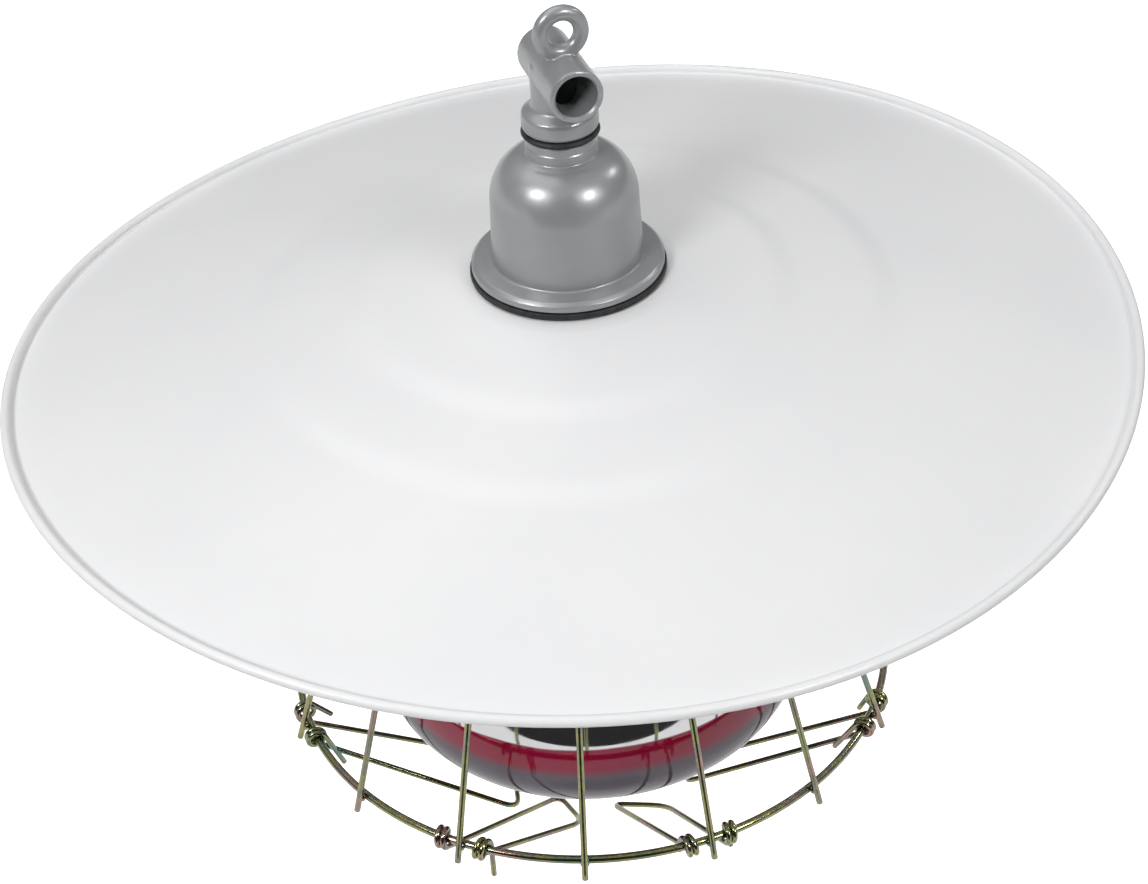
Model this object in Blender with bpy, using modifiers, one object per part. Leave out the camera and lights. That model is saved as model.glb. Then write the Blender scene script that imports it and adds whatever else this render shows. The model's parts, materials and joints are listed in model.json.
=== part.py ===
"""A hanging infrared heat lamp for brooding poultry and small livestock.

A grey plastic lamp holder with a side cable entry and a hanging eye carries a wide white shade.
A threaded nut under the shade clamps the shade and a wire guard against the holder's flange.
An infrared reflector bulb screws into the holder, inside the guard, and eight hinged wire petals
on the guard's hoop keep animals off its face and swing away when the bulb is changed.

Frame: +Z up, metres. The origin is the point of the hanging eye where a hook bears.
The cable entry faces -Y. The lamp's own axis is EYE_FORWARD behind the origin. Heights in this file
are above the plane of the shade's rim, RIM_DROP below the origin, and every piece hangs from an empty
that stands in that plane on the lamp's axis.
"""

from math import cos, pi, radians, sin

import bmesh
import bpy
from mathutils import Vector

MM = 0.001

# Driving dimensions, in millimetres
SHADE_R = 150.0
SHADE_SHEET = 0.8
SHADE_SEAT_R = 30.0
SHADE_SEAT_TOP = 19.3
SHADE_STEP_RADII = (57.0, 83.0)
SHADE_STEP_DROP = 0.9
SHADE_STEP_HALF_WIDTH = 3.5
SHADE_OUTER_RING_R = 115.0
SHADE_SEGMENTS = 56
BEAD_R = 1.35
BEAD_Z = 0.2
BEAD_ROOT = 0.6
BEAD_ROOT_RISE = 0.4
# The thin shade is a little out of true: it rises and widens towards two opposite sides
WARP_RISE = 3.9
WARP_RISE_AT = 19.0
WARP_WIDEN = 1.8
WARP_WIDEN_AT = 32.0
WARP_GROWTH = 1.5
EYE_HOLE_R = 3.2
EYE_WIRE_R = 2.05
EYE_CENTRE_Z = 89.0
EYE_FORWARD = 5.0
RIM_DROP = EYE_CENTRE_Z + EYE_HOLE_R

TUBE_Z = 76.8
TUBE_R = 6.8
TUBE_BORE_R = 5.35
TUBE_FRONT = 16.2
TUBE_BACK = 12.5
TUBE_LIP = 0.5
TUBE_BACK_EDGE = 0.9
TUBE_FLOOR = 3.0
CUT_BEYOND = 2.0
STEM_R = 7.0
WIREWAY_R = 4.6
COLLAR_R = 9.8
COLLAR_TOP = 65.5
COLLAR_BOTTOM = 61.25
COLLAR_EDGE = 0.5
FLARE = ((7.0, 68.2), (7.35, 67.4))
SPIGOT_R = 7.3
SPIGOT_BOTTOM = 53.0
SEAL_R = 9.0
SEAL_WIRE_R = 0.85
SEAL_Z = 60.08

NECK_R = 9.0
NECK_TOP = 58.9
DOME_TOP = 54.0
DOME_FOOT_R = 19.2
DOME_FOOT_Z = 41.0
BODY_FOOT_R = 19.8
WALL = 2.2
FLANGE_R = 25.3
FLANGE_TOP = 24.1
FLANGE_BOTTOM = 21.6
BARREL_R = 18.6
BARREL_BORE_R = 17.1
BARREL_BOTTOM = 7.9
GASKET_R = 25.8
GASKET_TOP = 21.3
GASKET_BOTTOM = 19.6
CLEAR_HOLE_R = 19.2
CLAMP_R = 31.0
CLAMP_TOP = 18.2
CLAMP_BOTTOM = 17.2
NUT_R = 25.0
NUT_BORE_R = 18.9
NUT_TOP = 16.9
NUT_BOTTOM = 9.9
NUT_GRIPS = 12
NUT_GRIP_R = 1.6
NUT_GRIP_AT_R = 25.6

INSERT_R = 16.2
INSERT_BOSS_R = 12.5
INSERT_BOTTOM = 10.5
INSERT_SHOULDER = 38.0
INSERT_TOP = 43.5
INSERT_BORE_R = 14.1
INSERT_BORE_TOP = 35.5
CONTACT_POCKET_R = 8.0
CONTACT_POCKET_TOP = 39.6
SOCKET_R = 13.8
SOCKET_BORE_R = 13.4
SOCKET_TOP = 35.0
SOCKET_BOTTOM = 12.5
SOCKET_LIP_R = 9.5
CONTACT_LINE = ((-6.0, 38.4), (-4.2, 38.2), (0.0, 38.2), (4.2, 38.2), (6.0, 38.4))
CONTACT_SHEET = 0.5
CONTACT_WIDTH = 5.0
RETAINER_R = 16.8
RETAINER_BORE_R = 14.7
RETAINER_TOP = 10.2
RETAINER_BOTTOM = 8.2
TERMINAL_X = 7.4
TERMINAL_SIZE = (4.6, 7.0, 4.4)
TERMINAL_Z = 46.1
TERMINAL_WIRE_R = 1.2
SCREW_HEAD_R = 1.9
SCREW_HEAD_HEIGHT = 1.3
SCREW_SLOT = 0.6

BULB_R = 62.5
BULB_WIDEST_Z = -106.5
BULB_FRONT_Z = -136.5
BULB_DOME_FULLNESS = 0.9
BULB_REFLECTOR = (
    (12.7, 11.0),
    (13.6, 8.0),
    (15.4, 3.0),
    (17.6, -6.0),
    (22.0, -20.0),
    (31.0, -38.0),
    (42.0, -57.0),
    (52.5, -75.0),
    (59.8, -91.0),
)
GLASS = 1.0
CAP_R = 13.0
CAP_SHEET = 0.5
CAP_TOP = 34.2
CAP_BOTTOM = 10.6
CAP_THROAT_R = 12.9
CAP_SHOULDER_R = 7.4
INSULATOR_TOP = 36.2
TIP_R = 4.4
TIP_TOP = 37.5
STEM_MOUNT_END = -20.0
FILAMENT_R = 13.0
FILAMENT_Z = -52.0
FILAMENT_WIRE_R = 0.7
LEAD_R = 0.6

GUARD_TURN = 3.0
HOOP_R = 86.4
HOOP_Z = -111.5
HOOP_WIRE_R = 1.15
RIB_COUNT = 16
RIB_WIRE_R = 0.9
RIB_INNER_R = 27.0
RIB_INNER_Z = 15.9
RIB_SHOULDER_R = 47.0
RIB_SHOULDER_Z = 11.4
RIB_BEND_R = 6.0
RIB_TAIL = 4.2

PETAL_WIRE_R = 0.8
PETAL_EYE_R = 2.45
PETAL_EYE_Y = 4.4
PETAL_EYE_PITCH = 1.75
PETAL_CORNER_R = 5.5
PETAL_SLOPE = 29.0
GAP = 0.3

# The petals are bent by hand, so they differ: the two corners of each one's tip, as (distance from
# the hoop, offset along it), then each cut end's lean in under the hoop in degrees and its length
PETAL_SHAPES = (
    ((61, -9), (54, 9), (25, 9), (20, 10)),
    ((60, -10), (55, 8), (20, 8), (30, 9)),
    ((61, -8), (53, 9), (30, 10), (25, 8)),
    ((61, -9), (54, 10), (25, 9), (15, 9)),
    ((68, 2), (61, 26), (40, 9), (20, 13)),
    ((62, 3), (47, 16.5), (10, 5), (0, 12)),
    ((59, -9), (43, 2.5), (10, 5), (0, 8)),
    ((61, -16), (56, -4), (30, 12), (25, 8)),
)


def clear_scene():
    for leftover in list(bpy.data.objects):
        bpy.data.objects.remove(leftover)


def collection(name):
    made = bpy.data.collections.new(name)
    bpy.context.scene.collection.children.link(made)
    return made


def material(name, colour, roughness, metallic=0.0):
    made = bpy.data.materials.new(name)
    made.use_nodes = True
    shader = made.node_tree.nodes["Principled BSDF"]
    shader.inputs["Base Color"].default_value = (*colour, 1.0)
    shader.inputs["Roughness"].default_value = roughness
    shader.inputs["Metallic"].default_value = metallic
    made.diffuse_color = (*colour, 1.0)
    return made


def place(obj, look, parent, home):
    """Puts a new object in its collection, under its parent, with its material."""
    home.objects.link(obj)
    obj.parent = parent
    if look:
        obj.data.materials.append(look)
    return obj


def arc(centre_r, centre_z, radius, start, end, steps):
    """Points on a round stretch of a profile, from start to end degrees, 0 pointing outwards."""
    turns = [radians(start + (end - start) * i / steps) for i in range(steps + 1)]
    return [(centre_r + radius * cos(t), centre_z + radius * sin(t)) for t in turns]


def turned(name, profile, look, parent, home, segments=40, closed=True):
    """A turned piece: the profile, (radius, height) pairs in mm, swept round Z.

    A closed profile runs out along its top, down its outer side and back in below.
    """
    points = [(r * MM, 0.0, z * MM) for r, z in profile]
    edges = [(i, i + 1) for i in range(len(points) - 1)]
    if closed:
        edges.append((len(points) - 1, 0))
    mesh = bpy.data.meshes.new(name)
    mesh.from_pydata(points, edges, [])
    obj = place(bpy.data.objects.new(name, mesh), look, parent, home)
    sweep = obj.modifiers.new("sweep", "SCREW")
    sweep.axis = "Z"
    sweep.angle = 2 * pi
    sweep.steps = segments
    sweep.render_steps = segments
    sweep.use_merge_vertices = True
    sweep.merge_threshold = 0.00001
    return obj


def wire(name, points, radius, look, parent, home, closed=False, resolution=1):
    """A round wire along points in mm."""
    curve = bpy.data.curves.new(name, "CURVE")
    curve.dimensions = "3D"
    curve.bevel_depth = radius * MM
    curve.bevel_resolution = resolution
    curve.use_fill_caps = not closed
    spline = curve.splines.new("POLY")
    spline.points.add(len(points) - 1)
    for spot, point in zip(spline.points, points):
        spot.co = (*(Vector(point) * MM), 1.0)
    spline.use_cyclic_u = closed
    return place(bpy.data.objects.new(name, curve), look, parent, home)


def block(name, size, centre, look, parent, home):
    """A box with its size and centre in mm."""
    mesh = bpy.data.meshes.new(name)
    shape = bmesh.new()
    bmesh.ops.create_cube(shape, size=1.0)
    bmesh.ops.scale(shape, vec=Vector(size) * MM, verts=shape.verts)
    shape.to_mesh(mesh)
    shape.free()
    obj = place(bpy.data.objects.new(name, mesh), look, parent, home)
    obj.location = Vector(centre) * MM
    return obj


def rod(name, radius, length, look, parent, home, segments=20):
    """A plain cylinder along Z, centred on its own origin."""
    mesh = bpy.data.meshes.new(name)
    shape = bmesh.new()
    bmesh.ops.create_cone(
        shape, cap_ends=True, segments=segments,
        radius1=radius * MM, radius2=radius * MM, depth=length * MM,
    )
    shape.to_mesh(mesh)
    shape.free()
    return place(bpy.data.objects.new(name, mesh), look, parent, home)


def helper(obj):
    """Marks a shape that is only cut from, or joined into, another one."""
    obj.hide_render = True
    obj.display_type = "WIRE"
    return obj


def boolean(obj, other, operation):
    step = obj.modifiers.new(f"{operation.lower()} {other.name}", "BOOLEAN")
    step.operation = operation
    step.object = helper(other)
    step.solver = "EXACT"


def cable_cap(look, frame, parts, cutters):
    """The holder's top: threaded collar, stem, sideways cable entry and hanging eye, in one moulding."""
    profile = [
        (0.0, TUBE_Z),
        (STEM_R, TUBE_Z),
        *FLARE,
        (COLLAR_R - COLLAR_EDGE, COLLAR_TOP),
        (COLLAR_R, COLLAR_TOP - COLLAR_EDGE),
        (COLLAR_R, COLLAR_BOTTOM + COLLAR_EDGE),
        (COLLAR_R - COLLAR_EDGE, COLLAR_BOTTOM),
        (SPIGOT_R, COLLAR_BOTTOM),
        (SPIGOT_R, SPIGOT_BOTTOM),
        (0.0, SPIGOT_BOTTOM),
    ]
    cap = turned("cable_cap", profile, look, frame, parts, segments=32, closed=False)

    tube_profile = [
        (0.0, TUBE_FRONT),
        (TUBE_R - TUBE_LIP, TUBE_FRONT),
        (TUBE_R, TUBE_FRONT - TUBE_LIP),
        (TUBE_R, -TUBE_BACK + TUBE_BACK_EDGE),
        (TUBE_R - TUBE_BACK_EDGE, -TUBE_BACK),
        (0.0, -TUBE_BACK),
    ]
    tube = turned("cable_tube_shape", tube_profile, None, frame, cutters, segments=32, closed=False)
    tube.location.z = TUBE_Z * MM
    tube.rotation_euler.x = pi / 2
    boolean(cap, tube, "UNION")

    ring_r = EYE_HOLE_R + EYE_WIRE_R
    ring_profile = arc(ring_r, 0.0, EYE_WIRE_R, 90, -270, 10)[:-1]
    ring = turned("eye_shape", ring_profile, None, frame, cutters, segments=28)
    ring.location.y = -EYE_FORWARD * MM
    ring.location.z = EYE_CENTRE_Z * MM
    ring.rotation_euler.x = pi / 2
    boolean(cap, ring, "UNION")

    bore_length = TUBE_FRONT + TUBE_BACK - TUBE_FLOOR + CUT_BEYOND
    bore = rod("tube_bore", TUBE_BORE_R, bore_length, None, frame, cutters, segments=28)
    bore.rotation_euler.x = pi / 2
    bore.location = (0.0, -(TUBE_FRONT + CUT_BEYOND - bore_length / 2) * MM, TUBE_Z * MM)
    boolean(cap, bore, "DIFFERENCE")

    wireway_length = TUBE_Z - SPIGOT_BOTTOM + CUT_BEYOND
    wireway = rod("wireway", WIREWAY_R, wireway_length, None, frame, cutters, segments=24)
    wireway.location.z = (TUBE_Z - wireway_length / 2) * MM
    boolean(cap, wireway, "DIFFERENCE")
    return cap


def holder_shell(look, frame, parts):
    """The bell: neck, dome, skirt, flange and the threaded barrel that goes through the shade."""
    dome_r = DOME_FOOT_R - NECK_R
    dome_h = DOME_TOP - DOME_FOOT_Z
    dome_turns = [radians(a) for a in (80, 62, 44, 26, 10)]
    outer_dome = [(NECK_R + dome_r * cos(t), DOME_FOOT_Z + dome_h * sin(t)) for t in dome_turns]
    inner_dome = [
        (NECK_R - WALL + dome_r * cos(t), DOME_FOOT_Z + (dome_h - WALL) * sin(t))
        for t in reversed(dome_turns)
    ]
    neck_bore_r = SPIGOT_R + GAP
    profile = [
        (neck_bore_r, NECK_TOP),
        (NECK_R - 0.4, NECK_TOP),
        (NECK_R, NECK_TOP - 0.4),
        (NECK_R, DOME_TOP + 0.8),
        *outer_dome,
        (DOME_FOOT_R, DOME_FOOT_Z),
        (BODY_FOOT_R, FLANGE_TOP + 0.8),
        (BODY_FOOT_R + 0.8, FLANGE_TOP),
        (FLANGE_R - 0.6, FLANGE_TOP),
        (FLANGE_R, FLANGE_TOP - 0.6),
        (FLANGE_R, FLANGE_BOTTOM),
        (BARREL_R, FLANGE_BOTTOM),
        (BARREL_R, BARREL_BOTTOM),
        (BARREL_BORE_R, BARREL_BOTTOM),
        *inner_dome,
        (neck_bore_r, DOME_TOP - WALL),
    ]
    return turned("holder_shell", profile, look, frame, parts, segments=36)


def shade_height(radius):
    """The shade's top surface: a shallow cone with two soft spun steps."""
    foot_r, foot_z = SHADE_R - 2 * BEAD_R, BEAD_Z - BEAD_R + BEAD_ROOT_RISE
    steps = len(SHADE_STEP_RADII) * SHADE_STEP_DROP
    share = (radius - SHADE_SEAT_R) / (foot_r - SHADE_SEAT_R)
    height = SHADE_SEAT_TOP + (foot_z + steps - SHADE_SEAT_TOP) * share
    for step_r in SHADE_STEP_RADII:
        t = (radius - step_r + SHADE_STEP_HALF_WIDTH) / (2 * SHADE_STEP_HALF_WIDTH)
        t = min(1.0, max(0.0, t))
        height -= SHADE_STEP_DROP * t * t * (3 - 2 * t)
    return height


def warped(radius, height, turn):
    """A point of the shade, moved by how far the sheet is out of true there."""
    share = max(0.0, (radius - SHADE_SEAT_R) / (SHADE_R - SHADE_SEAT_R)) ** WARP_GROWTH
    radius += share * WARP_WIDEN * cos(2 * (turn - radians(WARP_WIDEN_AT)))
    height += share * WARP_RISE * cos(2 * (turn - radians(WARP_RISE_AT)))
    return (radius * cos(turn) * MM, radius * sin(turn) * MM, height * MM)


def shade(look, frame, parts):
    """The spun sheet-metal shade, with its rim rolled up into a bead."""
    radii = [SHADE_SEAT_R]
    for step_r in SHADE_STEP_RADII:
        radii += [step_r + SHADE_STEP_HALF_WIDTH * side for side in (-1, 0, 1)]
    radii += [SHADE_OUTER_RING_R, SHADE_R - 2 * BEAD_R - BEAD_ROOT]
    top = [(r, shade_height(r)) for r in radii]
    bead = arc(SHADE_R - BEAD_R, BEAD_Z, BEAD_R, 190, -90, 8)
    under = [(r, z - SHADE_SHEET) for r, z in reversed(top)]
    profile = [
        (CLEAR_HOLE_R, SHADE_SEAT_TOP),
        *top,
        *bead,
        *under,
        (CLEAR_HOLE_R, SHADE_SEAT_TOP - SHADE_SHEET),
    ]
    turns = [2 * pi * i / SHADE_SEGMENTS for i in range(SHADE_SEGMENTS)]
    points = [warped(r, z, turn) for turn in turns for r, z in profile]
    count = len(profile)
    faces = []
    for i in range(SHADE_SEGMENTS):
        here = i * count
        after = (i + 1) % SHADE_SEGMENTS * count
        for j in range(count):
            k = (j + 1) % count
            faces.append((here + j, here + k, after + k, after + j))
    mesh = bpy.data.meshes.new("shade")
    mesh.from_pydata(points, [], faces)
    return place(bpy.data.objects.new("shade", mesh), look, frame, parts)


def flat_ring(name, outer, bore, top, bottom, look, frame, parts, segments=40):
    profile = [(bore, top), (outer, top), (outer, bottom), (bore, bottom)]
    return turned(name, profile, look, frame, parts, segments=segments)


def ring_nut(look, frame, parts, cutters):
    """The nut under the shade, with finger grips round it."""
    nut = flat_ring("ring_nut", NUT_R, NUT_BORE_R, NUT_TOP, NUT_BOTTOM, look, frame, parts, 36)
    grips = []
    for i in range(NUT_GRIPS):
        turn = 2 * pi * i / NUT_GRIPS
        length = NUT_TOP - NUT_BOTTOM + 2 * CUT_BEYOND
        grip = rod(f"nut_grip_{i + 1}", NUT_GRIP_R, length, None, frame, cutters, 8)
        spot = Vector((NUT_GRIP_AT_R * cos(turn), NUT_GRIP_AT_R * sin(turn), (NUT_TOP + NUT_BOTTOM) / 2))
        grip.location = spot * MM
        grips.append(grip)
    for grip in grips:
        boolean(nut, grip, "DIFFERENCE")
    return nut


def lamp_insert(looks, frame, parts, cutters):
    """The ceramic insert, its threaded metal shell, its two wire terminals and their screws."""
    body = [
        (0.0, INSERT_TOP),
        (INSERT_BOSS_R, INSERT_TOP),
        (INSERT_BOSS_R, INSERT_SHOULDER),
        (INSERT_R, INSERT_SHOULDER),
        (INSERT_R, INSERT_BOTTOM),
        (INSERT_BORE_R, INSERT_BOTTOM),
        (INSERT_BORE_R, INSERT_BORE_TOP),
        (CONTACT_POCKET_R, INSERT_BORE_TOP),
        (CONTACT_POCKET_R, CONTACT_POCKET_TOP),
        (0.0, CONTACT_POCKET_TOP),
    ]
    turned("ceramic_insert", body, looks["ceramic"], frame, parts, segments=28, closed=False)
    shell = [
        (SOCKET_LIP_R, SOCKET_TOP),
        (SOCKET_R, SOCKET_TOP),
        (SOCKET_R, SOCKET_BOTTOM),
        (SOCKET_BORE_R, SOCKET_BOTTOM),
        (SOCKET_BORE_R, SOCKET_TOP - 0.4),
        (SOCKET_LIP_R, SOCKET_TOP - 0.4),
    ]
    turned("socket_shell", shell, looks["brass"], frame, parts, segments=28)
    flat_ring(
        "insert_retainer", RETAINER_R, RETAINER_BORE_R, RETAINER_TOP, RETAINER_BOTTOM,
        looks["grey_plastic"], frame, parts, segments=28,
    )
    for side, kind in ((-1, "live"), (1, "neutral")):
        x = side * TERMINAL_X
        terminal = block(
            f"{kind}_terminal", TERMINAL_SIZE, (x, 0.0, TERMINAL_Z), looks["brass"], frame, parts
        )
        hole = rod(f"{kind}_wire_hole", TERMINAL_WIRE_R, 12.0, None, frame, cutters, segments=10)
        hole.rotation_euler.x = pi / 2
        hole.location = (x * MM, 0.0, TERMINAL_Z * MM)
        boolean(terminal, hole, "DIFFERENCE")
        head_z = TERMINAL_Z + TERMINAL_SIZE[2] / 2 + GAP + SCREW_HEAD_HEIGHT / 2
        screw = rod(
            f"{kind}_screw", SCREW_HEAD_R, SCREW_HEAD_HEIGHT, looks["steel"], frame, parts, segments=14
        )
        screw.location = (x * MM, 0.0, head_z * MM)
        slot = block(
            f"{kind}_screw_slot", (2 * SCREW_HEAD_R + 2, SCREW_SLOT, SCREW_SLOT),
            (x, 0.0, head_z + SCREW_HEAD_HEIGHT / 2), None, frame, cutters,
        )
        boolean(screw, slot, "DIFFERENCE")


def centre_contact(look, frame, parts):
    """The springy strip that presses on the bulb's tip."""
    outline = bpy.data.curves.new("centre_contact", "CURVE")
    outline.dimensions = "2D"
    outline.fill_mode = "BOTH"
    outline.extrude = CONTACT_WIDTH / 2 * MM
    spline = outline.splines.new("POLY")
    lower = [(x, z - CONTACT_SHEET / 2) for x, z in CONTACT_LINE]
    upper = [(x, z + CONTACT_SHEET / 2) for x, z in reversed(CONTACT_LINE)]
    spline.points.add(len(lower + upper) - 1)
    for spot, (x, z) in zip(spline.points, lower + upper):
        spot.co = (x * MM, z * MM, 0.0, 1.0)
    spline.use_cyclic_u = True
    obj = place(bpy.data.objects.new("centre_contact", outline), look, frame, parts)
    obj.rotation_euler.x = pi / 2
    return obj


def bulb_radius_points():
    """The bulb's outline from its neck down to its front, as (radius, height)."""
    dome_h = BULB_WIDEST_Z - BULB_FRONT_Z
    dome = [
        (BULB_R * cos(radians(a)) ** BULB_DOME_FULLNESS, BULB_WIDEST_Z - dome_h * sin(radians(a)))
        for a in (0, 16, 32, 48, 63, 77)
    ]
    return [*BULB_REFLECTOR, *dome]


def bulb(looks, axis, parts):
    """An infrared reflector bulb: glass, screw cap, insulator, tip, and the mount inside."""
    outer = bulb_radius_points()
    inner = []
    for r, z in outer:
        wall = GLASS * min(1.0, r / 20 + 0.3)
        rise = GLASS * 0.6 if z < BULB_WIDEST_Z else 0.0
        inner.append((r - wall, z + rise))
    glass_profile = [*outer, (0.0, BULB_FRONT_Z), (0.0, BULB_FRONT_Z + GLASS), *reversed(inner)]
    glass_profile.append(outer[0])
    turned("bulb_glass", glass_profile, looks["bulb"], axis, parts, segments=32, closed=False)

    cap = [
        (CAP_SHOULDER_R, CAP_TOP),
        (CAP_R - 1.0, CAP_TOP),
        (CAP_R, CAP_TOP - 1.0),
    ]
    grooves = 5
    pitch = 3.6
    for i in range(grooves):
        z = CAP_TOP - 2.0 - pitch * i
        cap += [(CAP_R, z), (CAP_R - 0.7, z - pitch / 2)]
    cap += [
        (CAP_R, CAP_BOTTOM + 2.5),
        (CAP_R + 0.3, CAP_BOTTOM),
        (CAP_THROAT_R + 0.1, CAP_BOTTOM),
        (CAP_R - 0.7 - CAP_SHEET, CAP_BOTTOM + 2.5),
        (CAP_R - 0.7 - CAP_SHEET, CAP_TOP - 1.2),
        (CAP_SHOULDER_R, CAP_TOP - CAP_SHEET),
    ]
    turned("bulb_cap", cap, looks["aluminium"], axis, parts, segments=24)

    insulator = [
        (0.0, INSULATOR_TOP),
        (TIP_R, INSULATOR_TOP),
        (CAP_SHOULDER_R - GAP, CAP_TOP + 0.2),
        (CAP_SHOULDER_R - GAP, CAP_TOP - 1.5),
        (0.0, CAP_TOP - 1.5),
    ]
    turned("cap_insulator", insulator, looks["black_glass"], axis, parts, segments=24, closed=False)
    tip = [
        (0.0, TIP_TOP),
        (TIP_R - 1.2, TIP_TOP - 0.1),
        (TIP_R - 0.4, TIP_TOP - 0.6),
        (TIP_R - 0.4, INSULATOR_TOP + GAP),
        (0.0, INSULATOR_TOP + GAP),
    ]
    turned("bulb_tip", tip, looks["solder"], axis, parts, segments=20, closed=False)

    mount = [
        (0.0, 9.0),
        (10.6, 9.0),
        (9.8, 4.0),
        (6.0, -2.0),
        (4.0, -10.0),
        (4.0, STEM_MOUNT_END),
        (0.0, STEM_MOUNT_END),
    ]
    turned("glass_mount", mount, looks["clear_glass"], axis, parts, segments=20, closed=False)
    ends = 25
    loop = [
        (FILAMENT_R * cos(radians(a)), FILAMENT_R * sin(radians(a)), FILAMENT_Z)
        for a in range(180 + ends, 540 - ends + 1, 31)
    ]
    wire("filament", loop, FILAMENT_WIRE_R, looks["tungsten"], axis, parts)
    for side, name in ((1, "lead_wire_a"), (-1, "lead_wire_b")):
        start = Vector((-2.0, side * 1.6, STEM_MOUNT_END - GAP))
        end_turn = radians(180 - side * (ends - 6))
        end = Vector((FILAMENT_R * cos(end_turn), FILAMENT_R * sin(end_turn), FILAMENT_Z + 1.6))
        middle = Vector((end.x, end.y, STEM_MOUNT_END - 12))
        wire(name, [start, start.lerp(middle, 0.9), middle, end], LEAD_R, looks["steel"], axis, parts)


def circle(radius, height, count):
    turns = [2 * pi * i / count for i in range(count)]
    return [(radius * cos(t), radius * sin(t), height) for t in turns]


def rib_line():
    """One rib in its own upright plane, as (radius, height): in under the nut's ring, then down."""
    start = Vector((RIB_INNER_R, RIB_INNER_Z))
    corner = Vector((RIB_SHOULDER_R, RIB_SHOULDER_Z))
    crossing = Vector((HOOP_R + HOOP_WIRE_R + RIB_WIRE_R + GAP, HOOP_Z))
    down = (crossing - corner).normalized()
    inwards = (start - corner).normalized()
    bend = []
    for t in (0.0, 0.25, 0.5, 0.75, 1.0):
        a = corner + inwards * RIB_BEND_R * (1 - t)
        b = corner + down * RIB_BEND_R * t
        bend.append(a.lerp(b, t))
    return [start, *bend, crossing, crossing + down * RIB_TAIL]


def guard(looks, frame, parts):
    """The cage: a flat ring under the nut, sixteen ribs and the hoop they are welded to."""
    zinc = looks["zinc"]
    flat_ring("guard_clamp_ring", CLAMP_R, CLEAR_HOLE_R, CLAMP_TOP, CLAMP_BOTTOM, zinc, frame, parts)
    wire("guard_hoop", circle(HOOP_R, HOOP_Z, 56), HOOP_WIRE_R, zinc, frame, parts, closed=True)
    for i in range(RIB_COUNT):
        line = [(point.x, 0.0, point.y) for point in rib_line()]
        rib = wire(f"guard_rib_{i + 1:02d}", line, RIB_WIRE_R, zinc, frame, parts)
        rib.rotation_euler.z = radians(GUARD_TURN) + 2 * pi * i / RIB_COUNT


def petal_eye(side, lean, length):
    """One end of a petal's wire, from its cut end to where its leg leaves the hoop.

    X points out from the lamp's axis and the hoop runs along Y through the origin.
    """
    leave = 270 + PETAL_SLOPE
    start = leave + 360 + (180 - lean - leave) % 360
    steps = 13
    points = []
    for i in range(steps + 1):
        t = i / steps
        turn = radians(start + (leave - start) * t)
        y = PETAL_EYE_Y + PETAL_EYE_PITCH * (start - leave) / 360 * (1 - t)
        points.append(Vector((PETAL_EYE_R * cos(turn), side * y, PETAL_EYE_R * sin(turn))))
    down = radians(270 - lean)
    end = points[0] + Vector((cos(down), 0.0, sin(down))) * length
    return [end, *points]


def rounded(before, corner, after, radius):
    """Points round one corner of a bent wire."""
    towards = (before - corner).normalized()
    away = (after - corner).normalized()
    reach = min(radius, 0.45 * (after - corner).length, 0.45 * (before - corner).length)
    start = corner + towards * reach
    end = corner + away * reach
    return [start.lerp(corner, t).lerp(corner.lerp(end, t), t) for t in (0.0, 0.33, 0.67, 1.0)]


def petal_line(shape):
    """A petal's wire: an eye round the hoop, a leg, the tip, the other leg and its eye."""
    corner_a, corner_b, tail_a, tail_b = shape
    slope = radians(180 + PETAL_SLOPE)
    along = Vector((cos(slope), 0.0, sin(slope)))
    eye_a = petal_eye(-1, *tail_a)
    eye_b = petal_eye(1, *tail_b)
    below = Vector((eye_a[-1].x, 0.0, eye_a[-1].z))
    tip_a = below + along * corner_a[0] + Vector((0.0, corner_a[1], 0.0))
    tip_b = below + along * corner_b[0] + Vector((0.0, corner_b[1], 0.0))
    first = rounded(eye_a[-1], tip_a, tip_b, PETAL_CORNER_R)
    second = rounded(tip_a, tip_b, eye_b[-1], PETAL_CORNER_R)
    return [*eye_a, *first, *second, *reversed(eye_b)]


def petals(looks, frame, parts):
    for i, shape in enumerate(PETAL_SHAPES):
        turn = radians(GUARD_TURN) + 2 * pi * i / len(PETAL_SHAPES)
        petal = wire(f"guard_petal_{i + 1}", petal_line(shape), PETAL_WIRE_R, looks["zinc"], frame, parts)
        petal.location = (HOOP_R * cos(turn) * MM, HOOP_R * sin(turn) * MM, HOOP_Z * MM)
        petal.rotation_euler.z = turn


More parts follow.
